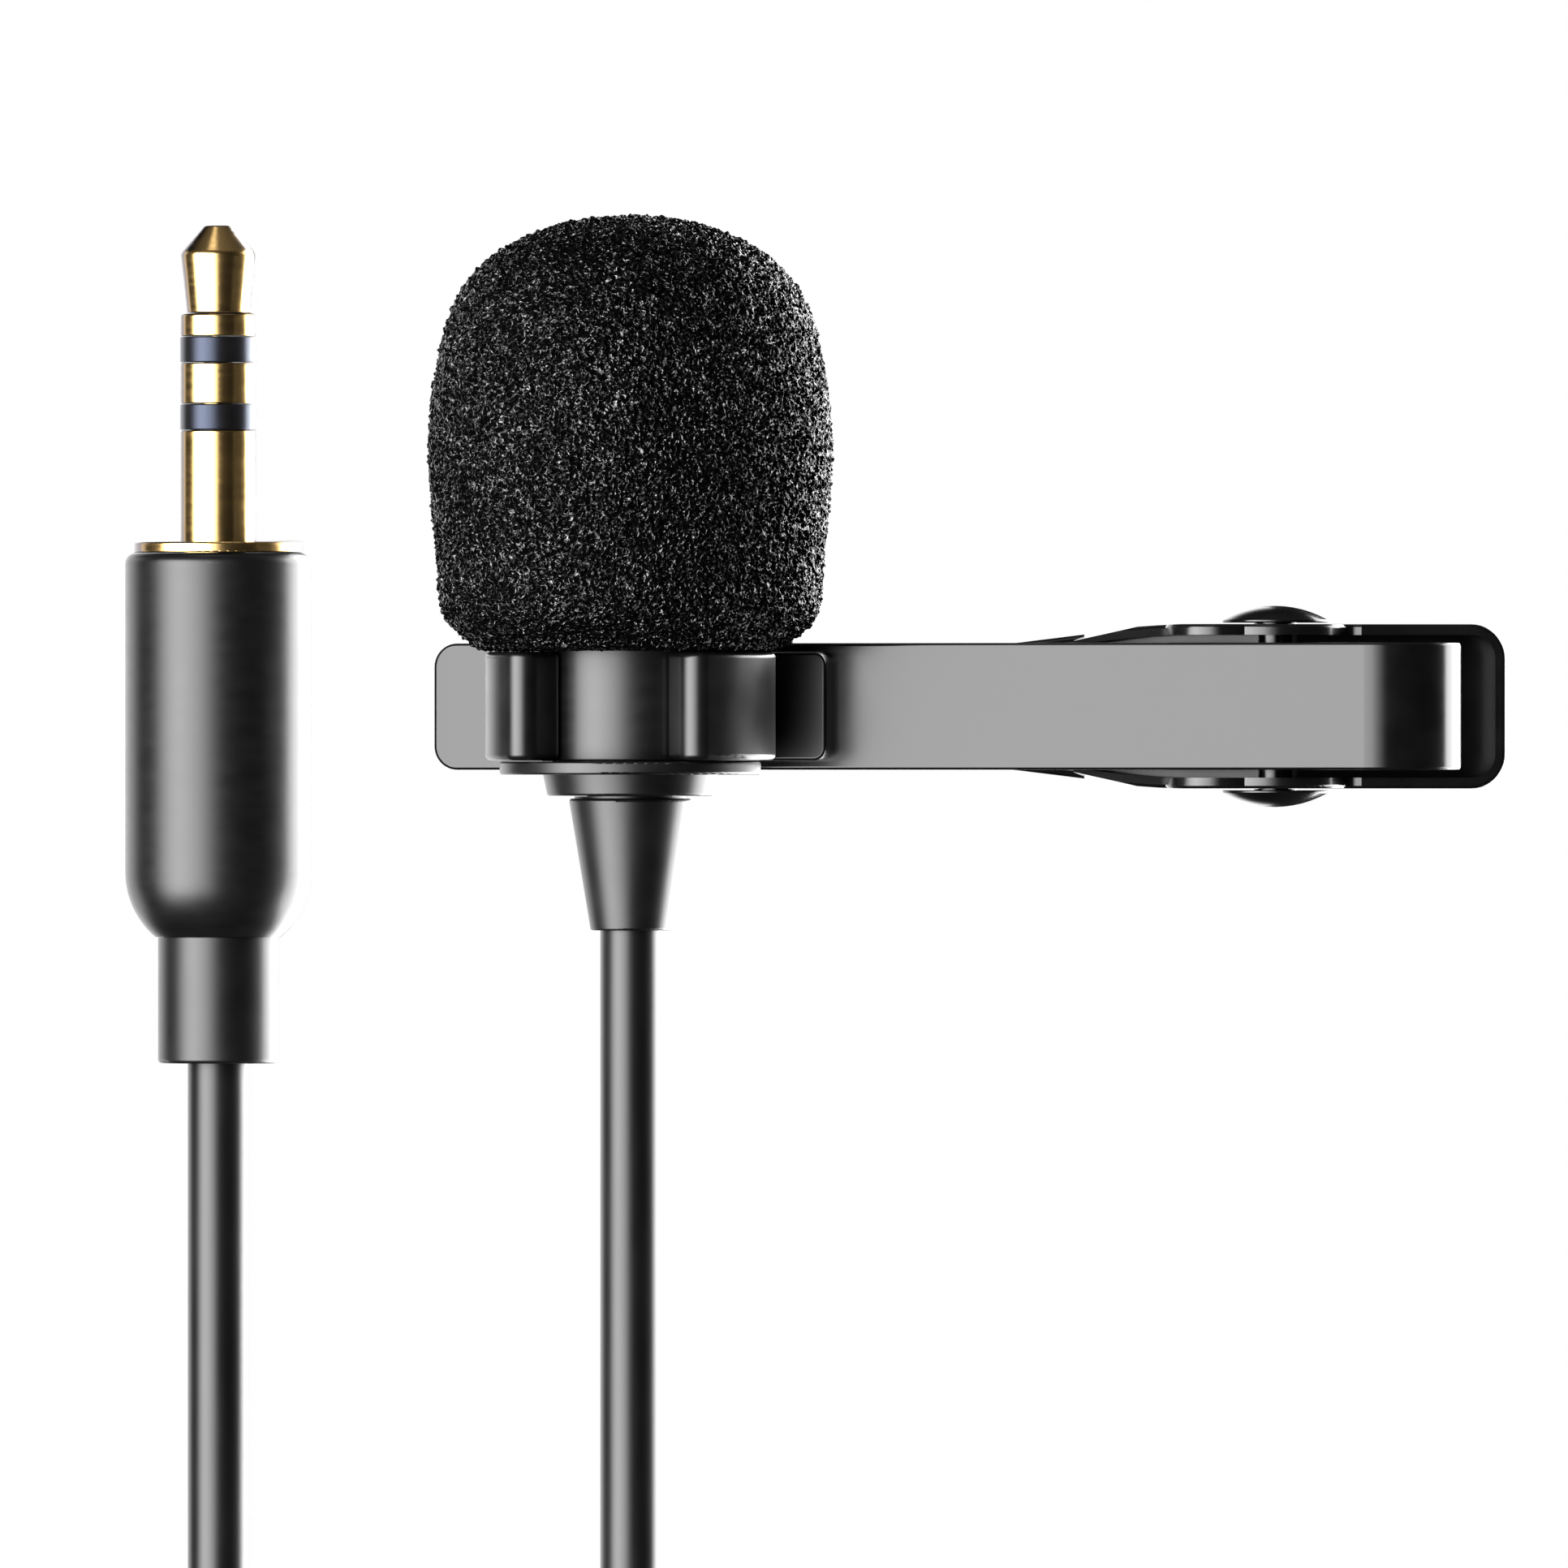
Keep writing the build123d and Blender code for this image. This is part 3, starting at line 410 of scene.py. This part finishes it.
def make_cable(material):
    """The lead in three pieces that meet on the straights: microphone end, hank, plug end."""
    hank = Hank()
    down = Vector((0, 0, -1))
    mic = Vector((MIC_AXIS.x, MIC_AXIS.y, 0))
    plug = Vector((PLUG_AXIS.x, PLUG_AXIS.y, 0))
    mic_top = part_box("cable")[1].z
    plug_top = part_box("cable_crimp")[1].z + CABLE_TOP_IN_CRIMP

    def at(base, z):
        return base + Vector((0, 0, z))

    path = straight(at(mic, mic_top), at(mic, CABLE_CUT_Z))
    mic_end = cable_piece("cable_mic_end", path, material)
    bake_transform(mic_end)

    wound = 360 * hank.TURNS
    mic_bend = at(mic, CABLE_BEND_Z)
    plug_bend = at(plug, CABLE_BEND_Z)
    path = [at(mic, CABLE_CUT_Z), mic_bend]
    path += eased(mic_bend, down, hank.point(0), hank.direction(0))
    path += [hank.point(wound * number / HANK_STEPS) for number in range(HANK_STEPS + 1)]
    path += eased(hank.point(wound), hank.direction(wound), plug_bend, -down)
    path += [plug_bend, at(plug, CABLE_CUT_Z)]
    middle = cable_piece("cable_hank", path, material)
    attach(middle, "lead")

    path = straight(at(plug, CABLE_CUT_Z), at(plug, plug_top))
    plug_end = cable_piece("cable_plug_end", path, material)
    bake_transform(plug_end)
    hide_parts("cable")


def copy_mesh(node, name, material):
    mesh = NODES[node].data.copy()
    mesh.name = name
    mesh.materials.clear()
    mesh.materials.append(material)
    piece = bpy.data.objects.new(name, mesh)
    bpy.context.scene.collection.objects.link(piece)
    return piece


def make_spring(material):
    """Torsion spring round the pin, which on the real clip winds up as the lever is squeezed; here a fixed copy of
    the CAD spring.
    """
    spring = copy_mesh("torsion_spring", "spring_coil", material)
    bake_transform(spring)
    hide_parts("torsion_spring")


def screen_outline():
    """The windscreen's outline as (radius, height) points: down the outside, then up the bore."""
    mesh = NODES["windscreen"].data
    points = [vertex.co for vertex in mesh.vertices]
    tree = BVHTree.FromPolygons(points, [face.vertices for face in mesh.polygons])
    low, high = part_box("windscreen")
    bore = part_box("mic_housing")[1].x + BORE_GAP
    middle = Vector((MIC_AXIS.x, MIC_AXIS.y, (low.z + high.z) / 2 - 2 * MM))
    outside = [(0.0, high.z)]
    for step in range(1, 900):
        angle = math.radians(0.2 * step)
        way = Vector((math.sin(angle), 0, math.cos(angle)))
        hit = tree.ray_cast(middle + way * 0.05, -way)[0]
        radius = hit.x - MIC_AXIS.x
        if angle > math.pi / 2 and radius < bore + 0.05 * MM:
            break
        outside.append((radius, hit.z))
    inside = []
    start = Vector((MIC_AXIS.x, MIC_AXIS.y, low.z + BORE_PROBE_RISE))
    for step in range(901):
        angle = math.radians(93 - 0.1033 * step)
        way = Vector((math.sin(angle), 0, math.cos(angle)))
        hit = tree.ray_cast(start, way)[0]
        inside.append((max(hit.x - MIC_AXIS.x, 0.0), hit.z))
    inside[-1] = (0.0, inside[-1][1])
    return outside, inside


def resampled(points, spacing):
    """Points spaced evenly along a polyline, both ends kept."""
    points = np.array(points)
    lengths = np.concatenate([[0], np.cumsum(np.hypot(*np.diff(points, axis=0).T))])
    count = max(2, round(lengths[-1] / spacing))
    wanted = np.linspace(0, lengths[-1], count + 1)
    return np.stack([np.interp(wanted, lengths, points[:, axis]) for axis in (0, 1)], axis=1)


def ring_mesh(outline, spacings):
    """A turned skin with evenly spaced points: its points, its triangles and each point's ring."""
    places = []
    rings = []
    for number, ((radius, height), spacing) in enumerate(zip(outline, spacings)):
        count = max(6, round(2 * math.pi * radius / spacing))
        if number in (0, len(outline) - 1):
            count = 1
        first = len(places)
        shift = 0.5 * (number % 2)
        for step in range(count):
            angle = 2 * math.pi * (step + shift) / count
            places.append((radius * math.cos(angle), radius * math.sin(angle), height))
        rings.append((first, count, shift))
    faces = []
    for (first_a, count_a, shift_a), (first_b, count_b, shift_b) in zip(rings[:-1], rings[1:]):
        a = 0
        b = 0
        while a < count_a or b < count_b:
            next_a = (a + 1 + shift_a) / count_a if count_a > 1 else 9.0
            next_b = (b + 1 + shift_b) / count_b if count_b > 1 else 9.0
            corner_a = first_a + a % count_a
            corner_b = first_b + b % count_b
            if b >= count_b or (a < count_a and next_a <= next_b):
                if count_a > 1:
                    faces.append((corner_a, corner_b, first_a + (a + 1) % count_a))
                a += 1
            else:
                if count_b > 1:
                    faces.append((corner_a, corner_b, first_b + (b + 1) % count_b))
                b += 1
    ring_of = np.repeat(np.arange(len(rings)), [count for first, count, shift in rings])
    return np.array(places), faces, ring_of


def foam_height(spot):
    """Relief at a point in millimetres, as a share of the foam's depth: high on walls, low in pores."""
    wander = Vector((noise.noise(spot * 3.1), noise.noise(spot * 3.1 + Vector((9, 2, 5))), 0.0)) * 0.12
    distances, sites = noise.voronoi((spot + wander) * FOAM_CELLS)
    wall = min((distances[1] - distances[0]) * 1.9, 1.0)
    pore = 0.35 + 0.65 * noise.cell(sites[0] * 7.3)
    grain = 0.25 * noise.noise(spot * 2.2) + 0.9 * max(noise.noise(spot * 4.7 + Vector((3, 8, 1))), 0.0)
    return grain - pore * wall * wall * (3 - 2 * wall)


def make_windscreen(material):
    """The foam ball: a fine skin over the CAD shape, cut into open cells outside the bore."""
    outside, inside = screen_outline()
    spacing = FOAM_SPACING * 1
    outer = resampled(outside, spacing)
    inner = resampled(inside, BORE_SPACING)
    outline = np.concatenate([outer, inner[1:]])
    spacings = [spacing] * len(outer) + [BORE_SPACING] * (len(inner) - 1)
    places, faces, ring_of = ring_mesh(outline, spacings)
    slope = np.gradient(outline, axis=0)[ring_of]
    slope /= np.linalg.norm(slope, axis=1)[:, None]
    angle = np.arctan2(places[:, 1], places[:, 0])
    normals = np.stack([-slope[:, 1] * np.cos(angle), -slope[:, 1] * np.sin(angle), slope[:, 0]], axis=1)
    fade = np.clip((len(outer) - FOAM_FLAT_RINGS - ring_of) / FOAM_FADE_RINGS, 0, 1)
    reliefs = [foam_height(Vector(place)) if f else 0.0 for place, f in zip(places / MM, fade)]
    places = places + normals * (FOAM_DEPTH * (np.array(reliefs) - FOAM_LEVEL) * fade)[:, None]
    places += np.array([MIC_AXIS.x, MIC_AXIS.y, 0.0])
    foam = new_piece("foam_windscreen", places.tolist(), faces, material)
    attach(foam, "windscreen")
    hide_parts("windscreen")


# ---------------------------------------------------------------- light, floor, camera


def view_frame():
    """Directions of the main view: to the right, and straight ahead."""
    right = Vector((math.cos(VIEW_AZIMUTH), math.sin(VIEW_AZIMUTH), 0))
    ahead = Vector((-math.sin(VIEW_AZIMUTH), math.cos(VIEW_AZIMUTH), 0))
    return right, ahead


def soft_window(tree, value, low, high, low_edge, high_edge):
    """1 between low and high and 0 outside, with soft edges; angles in degrees."""
    rise = ramp(tree, value, low - low_edge, low + low_edge)
    fall = ramp(tree, value, high - high_edge, high + high_edge, 1.0, 0.0)
    return product(tree, rise, fall)


def key_profile(tree, turn):
    """Brightness of the key panel across its width: full in the middle, slow fall to the right."""
    share = ramp(tree, turn, -90, 10)
    curve = add(tree, "ShaderNodeValToRGB", {"Fac": share})
    points = curve.color_ramp.elements
    points[0].position = 0.06
    points[0].color = (0, 0, 0, 1)
    points[1].position = 0.93
    points[1].color = (0, 0, 0, 1)
    for angle, level in ((-60, 0.88), (-48, 1.0), (-26, 0.68), (-18, 0.56), (-8, 0.22)):
        point = points.new((angle + 90) / 100)
        point.color = (level, level, level, 1)
    return curve.outputs["Color"]


def make_world():
    """Studio seen by reflection: a key panel, a dim panel behind, light from above; white to the camera."""
    world = bpy.data.worlds.new("studio")
    bpy.context.scene.world = world
    world.use_nodes = True
    tree = world.node_tree
    background = next(node for node in tree.nodes if node.type == "BACKGROUND")
    right, ahead = view_frame()
    direction = add(tree, "ShaderNodeTexCoord").outputs["Generated"]
    along = dot(tree, direction, right)
    away = dot(tree, direction, -ahead)
    height = add(tree, "ShaderNodeSeparateXYZ", {0: direction}).outputs["Z"]
    turn = add(tree, "ShaderNodeMath", {0: along, 1: away}, operation="ARCTAN2").outputs[0]
    turn = product(tree, turn, math.degrees(1))
    rise = add(tree, "ShaderNodeMath", {0: height}, operation="ARCSINE").outputs[0]
    rise = product(tree, rise, math.degrees(1))

    key = product(tree, key_profile(tree, turn), soft_window(tree, rise, -30, 30, 6, 6))
    behind = ramp(tree, turn, -127, -115, 1.0, 0.0)
    back = product(tree, behind, soft_window(tree, rise, -25, 25, 5, 5))
    above = product(tree, ramp(tree, rise, 40, 80), ABOVE_STRENGTH)
    overhead = (ahead * 0.02 - right * 0.14 + Vector((0, 0, 0.99))).normalized()
    lamp = product(tree, ramp(tree, dot(tree, direction, overhead), 0.985, 0.998), LAMP_STRENGTH)
    key = product(tree, key, KEY_STRENGTH)
    back = product(tree, back, BACK_STRENGTH)
    light = total(tree, key, back, above, lamp, AMBIENT_STRENGTH)
    camera = add(tree, "ShaderNodeLightPath").outputs["Is Camera Ray"]
    shown = add(tree, "ShaderNodeMix", data_type="FLOAT")
    tree.links.new(camera, shown.inputs[0])
    tree.links.new(light, shown.inputs[2])
    shown.inputs[3].default_value = 1.0
    tree.links.new(shown.outputs[0], background.inputs["Strength"])
    background.inputs["Color"].default_value = (1, 1, 1, 1)
    world.cycles.sampling_method = "MANUAL"
    world.cycles.sample_map_resolution = 1024


def make_rim_light(name, strength, pieces, blockers=None):
    """Strong panel behind and to the right, for the given pieces; only blockers, if given, shade it."""
    right, ahead = view_frame()
    turn = math.radians((RIM_FROM + RIM_TO) / 2)
    way = right * math.sin(turn) - ahead * math.cos(turn)
    width = 2 * RIM_DISTANCE * math.tan(math.radians((RIM_TO - RIM_FROM) / 2))
    height = 2 * RIM_DISTANCE * math.tan(math.radians(RIM_RISE))
    light = bpy.data.lights.new(name, "AREA")
    light.shape = "RECTANGLE"
    light.size = width
    light.size_y = height
    light.energy = strength * math.pi * width * height
    lamp = bpy.data.objects.new(name, light)
    lamp.location = Vector((0, MIC_AXIS.y, 0)) + way * RIM_DISTANCE
    lamp.rotation_mode = "QUATERNION"
    lamp.rotation_quaternion = (-way).to_track_quat("-Z", "Y")
    lamp.visible_camera = False
    light.cycles.use_multiple_importance_sampling = blockers is None
    bpy.context.scene.collection.objects.link(lamp)
    receivers = bpy.data.collections.new(name + "_lit")
    for piece in pieces:
        receivers.objects.link(piece)
    lamp.light_linking.receiver_collection = receivers
    if blockers:
        shades = bpy.data.collections.new(name + "_shades")
        for piece in blockers:
            shades.objects.link(piece)
        lamp.light_linking.blocker_collection = shades


def make_rim_lights():
    """The panel lights the plug without the microphone's shadow, and the foam more gently."""
    foam = [bpy.data.objects["foam_windscreen"]]
    plug = [node for name, node in NODES.items() if BODY_OF[name] == "plug"]
    plug.append(bpy.data.objects["cable_plug_end"])
    pieces = [piece for piece in bpy.context.scene.objects if piece.type == "MESH"]
    rest = [piece for piece in pieces if piece not in foam + plug]
    make_rim_light("rim", RIM_STRENGTH, rest)
    make_rim_light("rim_plug", RIM_STRENGTH, plug, plug)
    make_rim_light("rim_foam", RIM_FOAM_STRENGTH, foam)


def make_floor():
    """Plain pale floor under the hank, out of the main view."""
    level = CAD_BOUNDS[0][2] - FLOOR_DROP
    size = FLOOR_HALF_SIZE
    corners = [(-size, -size, level), (size, -size, level), (size, size, level), (-size, size, level)]
    material, tree, shader = new_material("floor")
    vector = place(tree)
    tone = noise_value(tree, vector, 0.02, 2.0)
    colour = mix_colour(tree, tone, (0.78, 0.78, 0.77), (0.8, 0.8, 0.8))
    tree.links.new(colour, shader.inputs["Base Color"])
    shader.inputs["Roughness"].default_value = 0.9
    floor = new_piece("floor", corners, [(0, 1, 2, 3)], material)
    floor.visible_glossy = False
    floor.visible_diffuse = False
    floor.visible_shadow = False


def make_camera():
    right, ahead = view_frame()
    target = Vector((MIC_AXIS.x, MIC_AXIS.y, IMAGE_CENTRE_UP)) + right * IMAGE_CENTRE_RIGHT
    camera = bpy.data.cameras.new("camera")
    camera.sensor_width = SENSOR_WIDTH
    camera.lens = SENSOR_WIDTH * CAMERA_DISTANCE / IMAGE_WIDTH
    camera.clip_start = 0.01
    camera.clip_end = 20
    holder = bpy.data.objects.new("camera", camera)
    holder.location = target - ahead * CAMERA_DISTANCE
    holder.rotation_mode = "QUATERNION"
    holder.rotation_quaternion = ahead.to_track_quat("-Z", "Y")
    bpy.context.scene.collection.objects.link(holder)
    bpy.context.scene.camera = holder


materials = make_materials()
paint_nodes(materials)
make_windscreen(materials["foam"])
make_cable(materials["cable_jacket"])
make_spring(materials["spring_steel"])
make_world()
make_rim_lights()
make_floor()
make_camera()

# A choice of look: the plug's contacts stay out of reflections on other pieces
for node in ("plug_tip", "plug_ring", "plug_sleeve"):
    NODES[node].visible_glossy = False
bpy.context.scene.view_settings.view_transform = "Standard"
